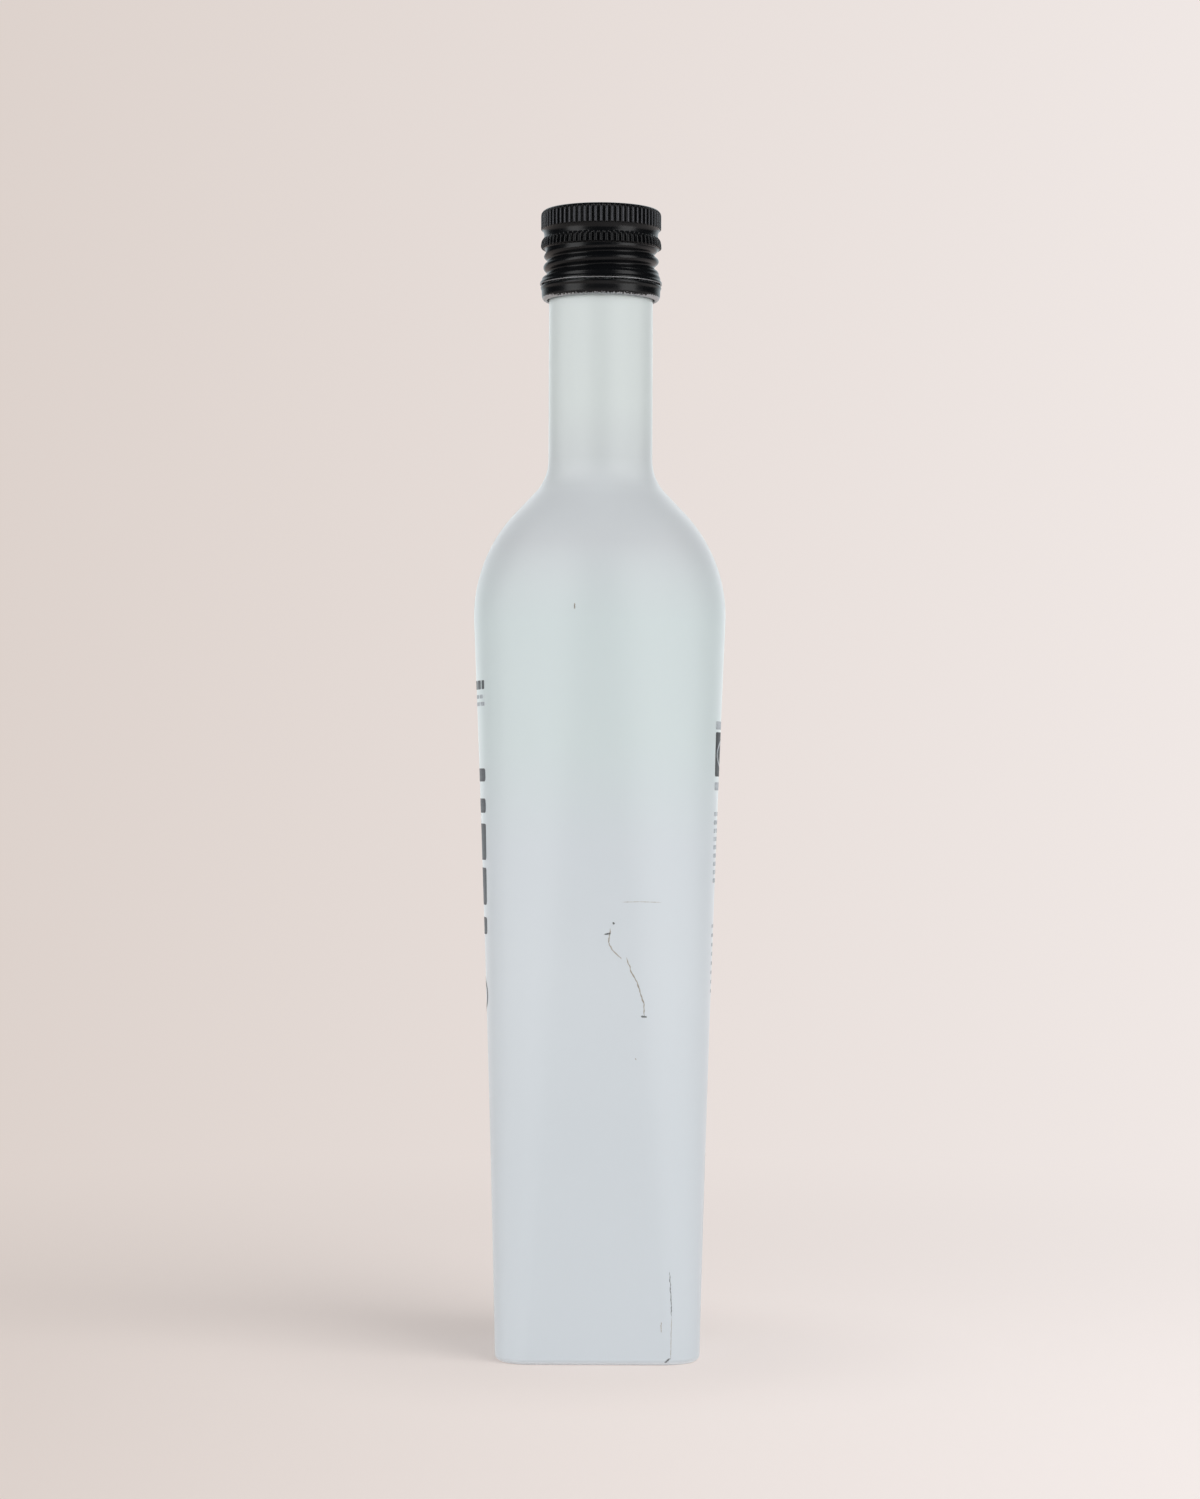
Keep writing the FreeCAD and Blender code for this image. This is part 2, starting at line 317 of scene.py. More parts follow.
def section_radius(angle, half, flat):
    """Distance from the axis to a rounded square: half / cos on the flats, and on a corner
    the far crossing of the ray with the corner's circle, centred at (flat, flat)."""
    turned = np.abs((angle + math.pi / 4) % (math.pi / 2) - math.pi / 4)
    along = flat * (np.cos(turned) + np.sin(turned))
    corner = along + np.sqrt(np.maximum(along**2 - 2 * flat**2 + (half - flat) ** 2, 0))
    return np.where(half * np.tan(turned) <= flat, half / np.cos(turned), corner)


def face_distance(g, across, z):
    """Distance from the axis plane to a face, at a place across it and a height: half on the
    flat, and flat + sqrt(corner^2 - (|across| - flat)^2) on the rounded corner."""
    half, flat = half_width(g, z), flat_half(g, z)
    beyond = np.maximum(np.abs(across) - flat, 0)
    return flat + np.sqrt(np.maximum((half - flat) ** 2 - beyond**2, 0))


def bottle_surface(g, columns=256):
    """The closed glass body as radius and height over (row, angle).

    From the pole under the base outwards and up: a shallow dome, the flat bearing ring, the
    heel as a quarter round, the wall and shoulder by half_width and flat_half, the neck, the
    lock bead hidden by the ring, and the plain finish hidden by the cap.
    """
    s = glass_shape(g)
    angle = np.linspace(0, 2 * math.pi, columns, endpoint=False)[None, :]
    rim = s.base - g.heel - g.bearing
    dome = (rim**2 + g.push_up**2) / (2 * g.push_up)
    out = rim * np.linspace(0.03, 1, 16)[:, None]
    dome_radius = np.broadcast_to(out, (16, columns))
    dome_height = g.push_up - dome + np.sqrt(dome**2 - dome_radius**2)

    edge = section_radius(angle, s.base - g.heel, s.base - g.base_corner)
    k = np.linspace(0, 1, 6)[1:-1, None]
    foot_radius = rim + (edge - rim) * k
    turn = np.linspace(0, math.pi / 2, 14)[:, None]
    heel_height = g.heel * (1 - np.cos(turn))
    inset = g.heel * (1 - np.sin(turn))
    heel_radius = section_radius(angle, half_width(g, heel_height) - inset,
                                 flat_half(g, heel_height))

    stations = (g.heel, s.wall_top, s.arc_top, s.cone_top, s.neck_foot, RING_FOOT)
    steps = [np.linspace(low, high, rows)[1:]
             for low, high, rows in zip(stations, stations[1:], (91, 42, 9, 26, 18))]
    side_height = np.concatenate(steps)[:, None]
    side_radius = section_radius(angle, half_width(g, side_height), flat_half(g, side_height))

    # the lock bead's four corners, then the finish's top edge and its flat top
    bead = RING_FOOT + np.array([1.2, 1.7, 2.9, 3.4]) * MM
    hidden_height = np.concatenate([bead, [FINISH_TOP - 1 * MM, FINISH_TOP, FINISH_TOP]])[:, None]
    stand = np.array([0, 1.2, 1.2, 0, 0, -0.4, -4]) * MM
    hidden_radius = np.broadcast_to((s.neck + stand)[:, None], (7, columns))

    radius = np.vstack([dome_radius, foot_radius, heel_radius, side_radius, hidden_radius])
    heights = [dome_height, np.zeros((4, columns)), heel_height, side_height, hidden_height]
    height = np.vstack([np.broadcast_to(h, (len(h), columns)) for h in heights])
    return radius, height, angle


# ------- the screw closure
def smooth(x):
    """Ease from 0 to 1: x * x * (3 - 2x) with x held between 0 and 1."""
    x = np.clip(x, 0, 1)
    return x * x * (3 - 2 * x)


def cap_profile(c):
    """Depths below the top, in millimetres, and the turned cap's radius at each: the rounded
    rim, the knurled band, the smooth recess, the flare to a sharp lip, the threaded skirt and
    the flare to the cut line."""
    knurl, crest, skirt = c.knurl_radius / MM, c.crest_radius / MM, c.skirt_radius / MM
    foot = (TOP - CAP_FOOT) / MM
    side = np.array([
        (0, knurl), (4.92, knurl), (5.05, knurl - 0.07), (5.2, knurl - 0.4), (5.5, knurl - 0.6),
        (5.9, knurl - 0.75), (6.4, knurl - 0.85), (7.0, knurl - 0.83), (7.35, knurl - 0.7),
        (7.6, knurl - 0.47), (7.9, knurl - 0.25), (8.3, knurl - 0.09), (9.0, knurl + 0.03),
        (9.75, knurl + 0.09), (9.95, knurl + 0.09), (10.05, knurl - 0.05),
        (10.15, knurl - 0.45), (10.3, knurl - 0.7), (10.7, crest - 0.1), (11.4, crest),
        (foot - 2.9, crest), (foot - 2.6, crest - 0.05), (foot - 2.3, crest + 0.05),
        (foot - 1.95, crest + 0.28), (foot - 1.6, crest + 0.38), (foot - 1.15, crest + 0.41),
        (foot - 0.9, crest + 0.53), (foot - 0.6, skirt - 0.1), (foot - 0.35, skirt - 0.02),
        (foot - 0.1, skirt), (foot - 0.02, skirt - 0.03), (foot, skirt - 0.1)])
    # rows lie close together where the side turns sharply
    depth = np.concatenate([
        c.rim_radius / MM + np.arange(0.05, 3.3, 0.3), np.arange(4.9, 5.6, 0.07),
        np.arange(5.6, 9.5, 0.2), np.arange(9.5, 10.7, 0.06), np.arange(10.7, foot - 2.8, 0.14),
        np.arange(foot - 2.8, foot - 0.1, 0.1), foot - np.array([0.1, 0.06, 0.02, 0])])
    return depth, np.interp(depth, side[:, 0], side[:, 1])


def flute_cut(c, depth, bell):
    """How deep the flutes are at each depth below the top, in millimetres: the upper band
    starts in the rim and ends above the recess, the lower one ends above the lip."""
    rim_start, band_foot = 0.45, 5.12
    flare_start, lip = 7.3, 10.15
    upper = smooth((depth - rim_start) / 0.7) * smooth((band_foot - depth) / 0.12)
    lower = smooth((depth - flare_start) / 0.8) * smooth((lip - depth) / 0.12)
    return c.flute_depth * bell * (upper + 1.25 * lower)


def thread_cut(c, height, angle):
    """How deep the rolled thread is: groove_depth times a bell across a line that climbs one
    pitch a turn, right-handed, and runs out level under the lip. It eases in and out."""
    start, turns, half_wide = math.radians(150), 2.15, 0.82 * MM
    low, high = CAP_FOOT + 2.55 * MM, TOP - 10.95 * MM
    run = (angle - start) % (2 * math.pi)
    groove = np.zeros(np.broadcast(height, angle).shape)
    for turn in range(math.ceil(turns)):
        along = run + 2 * math.pi * turn
        centre = np.minimum(low + c.pitch * along / (2 * math.pi), high)
        ends = smooth(along / 0.35) * smooth((2 * math.pi * turns - along) / 0.5)
        groove = np.maximum(groove, ends * np.exp(-(((height - centre) / half_wide) ** 2)))
    return c.groove_depth * groove


def cap_surface(c, per_knurl=9):
    """The cap as radius and height over (row, angle).

    The turned profile runs from the middle of the top, out over the rounded rim and down the
    skirt, then back up the bore. The flutes take away flute_depth times a bell across each,
    exp(-((x - 0.5) / 0.2)^2) with x from 0 to 1 from crest to crest, and the thread is cut
    into the skirt.
    """
    columns = c.knurls * per_knurl
    angle = np.linspace(0, 2 * math.pi, columns, endpoint=False)[None, :]
    local = (angle * c.knurls / (2 * math.pi)) % 1
    bell = np.exp(-(((local - 0.5) / 0.2) ** 2))
    bell = (bell - bell.min()) / (bell.max() - bell.min())

    rim = c.rim_radius
    turn = np.linspace(0, math.pi / 2, 11)
    top_radius = np.concatenate([(c.knurl_radius - rim) * np.linspace(0.02, 0.97, 8),
                                 c.knurl_radius - rim + rim * np.sin(turn)])[:, None]
    top_depth = np.concatenate([np.zeros(8), rim * (1 - np.cos(turn))])[:, None]
    top = top_radius - flute_cut(c, top_depth / MM, bell)

    depth, profile = cap_profile(c)
    height = TOP - depth[:, None] * MM
    side = profile[:, None] * MM - flute_cut(c, depth[:, None], bell) - thread_cut(c, height, angle)

    # the bore, and its flat end on the finish
    inner_radius = np.array([c.bore_radius, c.bore_radius, 10 * MM, 0.5 * MM])[:, None]
    inner_height = np.array([CAP_FOOT, FINISH_TOP, FINISH_TOP, FINISH_TOP])[:, None]
    rows = [(top, TOP - top_depth), (side, height), (inner_radius, inner_height)]
    wide = [np.broadcast_to(r, (len(r), columns)) for r, _ in rows]
    tall = [np.broadcast_to(h, (len(h), columns)) for _, h in rows]
    # rows run from the top down, so they are turned over to run from the foot up
    return np.vstack(wide)[::-1], np.vstack(tall)[::-1], angle


def ring_surface(c, columns=360):
    """The tamper ring as a closed band: up the outside, from the hem that curls in at the
    foot to a bead under the cut line, then down the inside."""
    angle = np.linspace(0, 2 * math.pi, columns, endpoint=False)[None, :]
    top, bore = c.ring_radius / MM, c.ring_bore / MM
    tall = (CAP_FOOT - c.cut_gap - RING_FOOT) / MM
    outline = np.array([
        (bore - 0.9, 0.25), (bore - 0.8, 0.08), (bore - 0.6, 0), (bore - 0.25, 0.06),
        (bore + 0.05, 0.25), (top - 0.52, 0.55), (top - 0.37, 0.9), (top - 0.3, 1.3),
        (top - 0.27, 1.8), (top - 0.25, 2.4), (top - 0.2, 2.8), (top - 0.1, 3.05),
        (top - 0.02, 3.25), (top, 3.4), (top - 0.02, 3.6), (top - 0.1, 3.78), (top - 0.2, tall),
        (bore + 0.05, tall), (bore, tall - 0.05), (bore, 0.9), (bore - 0.9, 0.9)])
    radius = np.broadcast_to(outline[:, :1] * MM, (len(outline), columns))
    height = np.broadcast_to(RING_FOOT + outline[:, 1:] * MM, (len(outline), columns))
    return radius, height, angle


def bridge_boxes(c):
    """Small blocks from the ring up to the cap's foot, evenly spaced, the first at the front:
    a unit box stretched to each block's size and turned to its angle."""
    unit = np.array([(x, y, z) for z in (0, 1) for y in (-0.5, 0.5) for x in (0, 1)])[None]
    turn = np.radians(-90 + 360 * np.arange(c.bridges) / c.bridges)[:, None]
    inset = 0.65 * MM
    out = c.ring_radius - inset + unit[..., 0] * c.bridge_depth
    side = unit[..., 1] * c.bridge_width
    up = CAP_FOOT - c.cut_gap * (2 - 2 * unit[..., 2]) + 0 * turn
    points = np.stack([out * np.cos(turn) - side * np.sin(turn),
                       out * np.sin(turn) + side * np.cos(turn), up], -1).reshape(-1, 3)
    quads = np.array([(0, 2, 3, 1), (4, 5, 7, 6), (0, 1, 5, 4), (2, 6, 7, 3), (0, 4, 6, 2),
                      (1, 3, 7, 5)])
    faces = (np.arange(c.bridges)[:, None, None] * 8 + quads[None]).reshape(-1, 4)
    return points, faces


# ------- print and marks
def laid_on(g, side, across, z, lift):
    """Points of the glass at a place across one face and a height, lifted off it.

    Side is left, right or front; across runs to the right as one looks at that face."""
    out = face_distance(g, across, z) + lift
    if side == "left":
        return np.stack([-out, -across, z], -1)
    if side == "right":
        return np.stack([out, across, z], -1)
    return np.stack([across, -out, z], -1)


def printed_blocks(g, side, blocks, corner=0.3 * MM, lift=INK):
    """Rounded blocks of ink: one grid for each block, whose rows near the ends are shortened
    by corner * (1 - sqrt(1 - t^2)) with t from 0 to 1 over the corner."""
    box = np.asarray(blocks, dtype=float)[:, :, None, None] * MM
    low, high, left, right = box[:, 0], box[:, 1], box[:, 2], box[:, 3]
    round_end = np.minimum(corner, (high - low) / 2)
    ease = 1 - np.cos(np.linspace(0, math.pi / 2, 4))
    steps = np.concatenate([ease, 2 - ease[::-1]])[None, :, None]
    rise = np.where(steps > 1, (high - low) - (2 - steps) * round_end, steps * round_end)
    near = np.minimum(rise, (high - low) - rise) / round_end
    t = np.clip(1 - near, 0, 1)
    cut = round_end * (1 - np.sqrt(1 - t**2))
    k = np.linspace(0, 1, 17)[None, None, :]
    across = (left + cut) + (right - left - 2 * cut) * k
    z = low + rise + 0 * k
    return laid_on(g, side, across, z, lift), patch_grid(*across.shape)


def printed_oval(g, side, middle, wide, tall, line, lift=INK):
    """An oval outline of ink: an ellipse of half sizes wide and tall, line thick."""
    turn = np.linspace(0, 2 * math.pi, 73)[None, None, :]
    k = np.linspace(0, 1, 3)[None, :, None] * line
    across = (wide - line + k) * np.cos(turn) * MM
    z = (middle + (tall - line + k) * np.sin(turn)) * MM
    faces = patch_grid(*across.shape)[:, ::-1]
    return laid_on(g, side, across, z, lift), faces


def greeked_rows(heights, tall, half, seed, gap=0.7):
    """Rows of small blocks that stand for small print, each of a random length, seeded."""
    words = np.random.default_rng(seed)
    blocks = []
    for z in heights:
        edge = -half
        while edge < half - 1.2:
            wide = min(words.uniform(1.2, 5.5), half - edge)
            blocks.append((z, z + tall, edge, edge + wide))
            edge += wide + gap
    return blocks


def scratch(g, path, width, seed=1, steps=60, lift=0.02 * MM):
    """A ribbon on the front along a line of (across, height) places in millimetres: its
    width swells and thins along its length as 1 + 0.45 sin cos and tapers at both ends."""
    path = np.asarray(path, dtype=float)
    along = np.concatenate([[0], np.cumsum(np.hypot(*np.diff(path, axis=0).T))])
    t = np.linspace(0, along[-1], steps)
    wander = np.random.default_rng(seed).normal(0, 1, steps)
    wander = np.convolve(wander, np.hanning(7) / np.hanning(7).sum(), "same") * width * 0.5
    x, z = np.interp(t, along, path[:, 0]) + wander, np.interp(t, along, path[:, 1])
    run = np.stack([np.gradient(x), np.gradient(z)])
    run = run / np.maximum(np.hypot(*run), 1e-9)
    share = t / along[-1]
    taper = np.sqrt(np.clip(np.minimum(share, 1 - share) * 8, 0.02, 1))
    swell = 1 + 0.45 * np.sin(share * 23 + seed) * np.cos(share * 51 + 2 * seed)
    wide = (width / 2 * taper * swell)[:, None] * np.array([[-1, 0, 1]])
    across = (x[:, None] - run[1][:, None] * wide)[None] * MM
    up = (z[:, None] + run[0][:, None] * wide)[None] * MM
    faces = patch_grid(*across.shape)[:, ::-1]
    return laid_on(g, "front", across, up, lift), faces


def joined(parts):
    """One array of points and one of faces from several (points, faces) pairs."""
    points, faces, count = [], [], 0
    for p, f in parts:
        p = p.reshape(-1, 3)
        points.append(p)
        faces.append(f + count)
        count += len(p)
    return np.vstack(points), [np.vstack(faces)]


# ------- materials
def add_node(tree, kind, settings=None, links=None):
    """Add a shader node, set its properties and socket values, and link its inputs, each
    from a socket or from a node's first output. The nodes are laid out in the order in which
    they are added, eight to a row."""
    count = len(tree.nodes)
    node = tree.nodes.new("ShaderNode" + kind)
    node.location = (220 * (count % 8), -340 * (count // 8))
    for key, value in (settings or {}).items():
        if isinstance(key, int) or key in node.inputs:
            node.inputs[key].default_value = value
        else:
            setattr(node, key, value)
    for key, source in (links or {}).items():
        socket = source.outputs[0] if isinstance(source, bpy.types.Node) else source
        tree.links.new(socket, node.inputs[key])
    return node


def new_material(name):
    """An empty node material: the material, its tree and its object coordinates."""
    material = bpy.data.materials.new(name)
    material.use_nodes = True
    tree = material.node_tree
    tree.nodes.clear()
    return material, tree, add_node(tree, "TexCoord").outputs["Object"]


def set_stops(ramp, stops):
    """Give a colour ramp its stops, each a place from 0 to 1 and a linear colour."""
    elements = ramp.color_ramp.elements
    while len(elements) < len(stops):
        elements.new(0.5)
    for element, (place, shade) in zip(elements, stops):
        element.position = place
        element.color = (*shade, 1)


def coated_glass_material(name, g):
    """Glass with a baked, sprayed coating: opaque, satin, pale blue-grey.

    The spray is thinner on the neck, which looks greyer and greener than the foot. Round the
    heel the colour is paler as painted light that lifts the shade next to the floor, the foot's
    tone is partly painted light, and the shoulder is darker as painted shade. Fine orange peel,
    about 1.5 mm across, softens its highlights.
    """
    material, tree, place = new_material(name)
    z = add_node(tree, "SeparateXYZ", links={"Vector": place}).outputs["Z"]
    # heights are shares of the glass that shows, from the foot to the ring
    rise = add_node(tree, "MapRange", {"From Max": RING_FOOT}, {"Value": z})
    ramp = add_node(tree, "ValToRGB", links={"Fac": rise})
    # among the stops the heel is painted light, the foot partly painted light and the shoulder
    # painted shade
    set_stops(ramp, [(0.001, g.heel_painted_light[:]), (0.004, g.foot_tone_and_painted_light[:]),
                     (0.36, g.wall_colour[:]), (0.48, g.wall_colour[:]),
                     (0.58, g.upper_colour[:]), (0.69, g.upper_colour[:]),
                     (0.765, g.shoulder_painted_shade[:]), (0.81, g.shoulder_painted_shade[:]),
                     (0.9, g.neck_colour[:])])
    cloud = add_node(tree, "TexNoise", {"Scale": 1 / (45 * MM), "Detail": 3.0}, {"Vector": place})
    tone = add_node(tree, "MapRange", {"To Min": 0.985, "To Max": 1.015}, {"Value": cloud})
    shade = add_node(tree, "VectorMath", {"operation": "MULTIPLY"}, {0: ramp, 1: tone})
    gloss = add_node(tree, "MapRange", {"To Min": 0.34, "To Max": 0.42}, {"Value": cloud})
    peel = add_node(tree, "TexNoise", {"Scale": 1 / (1.5 * MM), "Detail": 2.0}, {"Vector": place})
    bump = add_node(tree, "Bump", {"Strength": 0.12, "Distance": 0.03 * MM}, {"Height": peel})
    shader = add_node(tree, "BsdfPrincipled",
                      {"IOR": 1.5, "Sheen Weight": 0.4, "Sheen Roughness": 0.3},
                      {"Base Color": shade, "Roughness": gloss, "Normal": bump})
    add_node(tree, "OutputMaterial", None, {"Surface": shader})
    return material


def lacquer_with_painted_crests(tree, place, z, c):
    """The lacquer's colour: black, and a dull grey painted highlight on the crests of the upper
    knurls."""
    flat = add_node(tree, "VectorMath", {"operation": "MULTIPLY", 1: (1, 1, 0)}, {0: place})
    out = add_node(tree, "VectorMath", {"operation": "LENGTH"}, {0: flat})
    # painted highlight on the crests of the upper knurls, next to the knurl radius and above the
    # recess
    crest = add_node(tree, "MapRange",
                     {"From Min": c.knurl_radius - 0.1 * MM,
                      "From Max": c.knurl_radius - 0.01 * MM}, {"Value": out.outputs["Value"]})
    band = add_node(tree, "MapRange", {"From Min": TOP - 5.1 * MM, "From Max": TOP - 4.8 * MM},
                    {"Value": z})
    painted = add_node(tree, "Math", {"operation": "MULTIPLY"}, {0: crest, 1: band})
    lacquer = add_node(tree, "Mix", {"data_type": "RGBA", 6: (*c.lacquer, 1), 7: (*c.crest, 1)},
                       {0: painted})
    return lacquer.outputs[2]


def bare_places(tree, place, x, z):
    """Where the lacquer is gone: a hair line along the cap's foot, where the knife cut it,
    and specks on the ring's rolled foot, more of them lower down and at the two sides."""
    cut = add_node(tree, "MapRange",
                   {"From Min": CAP_FOOT + 0.06 * MM, "From Max": CAP_FOOT + 0.16 * MM,
                    "To Min": 1.0, "To Max": 0.0}, {"Value": z})
    over = add_node(tree, "Math", {"operation": "GREATER_THAN", 1: CAP_FOOT - 0.01 * MM},
                    {0: z})
    knife = add_node(tree, "Math", {"operation": "MULTIPLY"}, {0: cut, 1: over})
    hem_top = RING_FOOT + 0.8 * MM
    hem = add_node(tree, "Math", {"operation": "LESS_THAN", 1: hem_top}, {0: z})
    speck = add_node(tree, "TexNoise", {"Scale": 1 / (0.45 * MM), "Detail": 3.0},
                     {"Vector": place})
    low = add_node(tree, "MapRange",
                   {"From Min": RING_FOOT, "From Max": hem_top, "To Min": 0.22, "To Max": -0.2},
                   {"Value": z})
    aside = add_node(tree, "Math", {"operation": "ABSOLUTE"}, {0: x})
    sides = add_node(tree, "MapRange", {"From Min": 11 * MM, "From Max": 14 * MM, "To Max": 0.3},
                     {"Value": aside})
    lower = add_node(tree, "Math", {"operation": "ADD"}, {0: speck, 1: low})
    # more bare specks lower down and towards the left and right, where |x| runs from 11 to 14 mm
    specks_lower_and_aside = add_node(tree, "Math", {"operation": "ADD"}, {0: lower, 1: sides})
    bare_wear_and_foot_shade = add_node(tree, "MapRange", {"From Min": 0.5, "From Max": 0.58}, {"Value": specks_lower_and_aside})
    specks = add_node(tree, "Math", {"operation": "MULTIPLY"}, {0: hem, 1: bare_wear_and_foot_shade})
    return add_node(tree, "Math", {"operation": "MAXIMUM", "use_clamp": True},
                    {0: knife, 1: specks})


def lacquer_material(name, c):
    """Aluminium with black stoved lacquer: a smooth satin black with a faint peel, gone to dull
    bare metal where the knife cut it and where the hem was rolled. The crests of the upper
    knurls carry a painted highlight."""
    material, tree, place = new_material(name)
    x, _, z = add_node(tree, "SeparateXYZ", links={"Vector": place}).outputs
    peel = add_node(tree, "TexNoise", {"Scale": 1 / (0.9 * MM), "Detail": 2.0}, {"Vector": place})
    bump = add_node(tree, "Bump", {"Strength": 0.15, "Distance": 0.02 * MM}, {"Height": peel})
    gloss = add_node(tree, "MapRange", {"To Min": 0.22, "To Max": 0.32}, {"Value": peel})
    black = add_node(tree, "BsdfPrincipled", {"IOR": 1.5, "Specular IOR Level": 0.22},
                     {"Base Color": lacquer_with_painted_crests(tree, place, z, c),
                      "Roughness": gloss, "Normal": bump})
    metal = add_node(tree, "BsdfPrincipled",
                     {"Base Color": (*c.bare, 1), "Metallic": 0.8, "Roughness": 0.4},
                     {"Normal": bump})
    mix = add_node(tree, "MixShader", None,
                   {"Fac": bare_places(tree, place, x, z), 1: black, 2: metal})
    add_node(tree, "OutputMaterial", None, {"Surface": mix})
    return material


def ink_material(name, shade, wear=0.0):
    """Screen-printed ink: a thin matt film, paler in places by wear. The screen's own mesh
    is too fine to show, so the unevenness that it leaves is drawn 0.8 mm wide."""
    material, tree, place = new_material(name)
    grain = add_node(tree, "TexNoise", {"Scale": 1 / (0.8 * MM), "Detail": 4.0}, {"Vector": place})
    ramp = add_node(tree, "ValToRGB", links={"Fac": grain})
    pale = tuple(min(1, c * (1.25 + wear)) for c in shade)
    set_stops(ramp, [(0.3, tuple(c * 0.85 for c in shade)), (0.7, pale)])
    shader = add_node(tree, "BsdfPrincipled",
                      {"Roughness": 0.5, "IOR": 1.5, "Specular IOR Level": 0.2},
                      {"Base Color": ramp})
    add_node(tree, "OutputMaterial", None, {"Surface": shader})
    return material


def looked_at(tree):
    """A light path node, and a value that is 1 where the camera or a reflection looks."""
    path = add_node(tree, "LightPath")
    seen = add_node(tree, "Math", {"operation": "MAXIMUM"},
                    {0: path.outputs["Is Camera Ray"], 1: path.outputs["Is Glossy Ray"]})
    return path, seen


def paper_tint(tree, sideways, s):
    """The studio paper's colour, from the left's to the right's over the sideways slope of the
    view: darker on the left as a painted fall-off of light."""
    side = add_node(tree, "MapRange",
                    {"From Min": -s.backdrop_spread, "From Max": s.backdrop_spread},
                    {"Value": sideways})
    ramp = add_node(tree, "ValToRGB", links={"Fac": side})
    set_stops(ramp, [(0.0, s.backdrop_left_shaded[:]), (1.0, s.backdrop_right_lit[:])])
    return ramp


def view_slope(tree, place, s):
    """Sideways slope of the view to a place on the floor: x over the distance from the
    camera, kept from falling to nothing under it."""
    nearest = 0.3
    x, y, _ = add_node(tree, "SeparateXYZ", links={"Vector": place}).outputs
    away = add_node(tree, "Math", {"operation": "ADD", 1: s.distance}, {0: y})
    held = add_node(tree, "Math", {"operation": "MAXIMUM", 1: nearest}, {0: away})
    return add_node(tree, "Math", {"operation": "DIVIDE"}, {0: x, 1: held})


def paper_material(name, s):
    """Studio paper on the floor: the camera and reflections see its own colour glow evenly
    far away, and near the bottle matt paper that takes its soft shadow."""
    material, tree, place = new_material(name)
    tint = paper_tint(tree, view_slope(tree, place, s), s)
    path, seen = looked_at(tree)
    shown = add_node(tree, "Math", {"operation": "MAXIMUM"},
                     {0: seen, 1: path.outputs["Is Transmission Ray"]})
    glow = add_node(tree, "Emission", None, {"Color": tint, "Strength": shown})
    # the glow that lights the bottle is half of what the camera sees
    part = add_node(tree, "MapRange", {"To Min": s.floor_glow / 2, "To Max": s.floor_glow},
                    {"Value": shown})
    low_glow = add_node(tree, "Emission", None, {"Color": tint, "Strength": part})
    far = add_node(tree, "VectorMath", {"operation": "LENGTH"}, {"Vector": place})
    # painted contact shadow: the paper is a little darker right round the foot
    bare_wear_and_foot_shade = add_node(tree, "MapRange",
                    {"interpolation_type": "SMOOTHSTEP", "From Min": 0.02, "From Max": 0.11,
                     "To Min": s.floor_shade * s.painted_foot_shadow, "To Max": s.floor_shade},
                    {"Value": far.outputs["Value"]})
    paper = add_node(tree, "VectorMath", {"operation": "SCALE"}, {0: tint, "Scale": bare_wear_and_foot_shade})
    matt = add_node(tree, "BsdfDiffuse", None, {"Color": paper})
    near = add_node(tree, "AddShader", None, {0: low_glow, 1: matt})
    share = add_node(tree, "MapRange",
                     {"interpolation_type": "SMOOTHSTEP", "From Min": 0.1, "From Max": 0.5},
                     {"Value": far.outputs["Value"]})
    mix = add_node(tree, "MixShader", None, {"Fac": share, 1: near, 2: glow})
    add_node(tree, "OutputMaterial", None, {"Surface": mix})
    return material


# ------- studio
def softbox(name, azimuth, elevation, away, size, radiance, aim):
    """A rectangular lamp that looks at a height on the axis, from an azimuth and elevation
    in degrees and a distance, with its power worked out from its radiance and area."""
    light = bpy.data.lights.new(name, "AREA")
    light.shape = "RECTANGLE"
    light.size, light.size_y = size
    light.energy = radiance * math.pi * size[0] * size[1]
    lamp = bpy.data.objects.new(name, light)
    a, e = math.radians(azimuth), math.radians(elevation)
    way = Vector((math.sin(a) * math.cos(e), -math.cos(a) * math.cos(e), math.sin(e)))
    lamp.location = Vector((0, 0, aim)) + way * away
    lamp.rotation_euler = way.to_track_quat("Z", "Y").to_euler()
    lamp.visible_camera = False
    bpy.context.scene.collection.objects.link(lamp)
    return lamp


def group_of(name, pieces):
    """A collection that light linking can name, with some pieces in it."""
    group = bpy.data.collections.new(name)
    for piece in pieces:
        group.objects.link(piece)
    return group


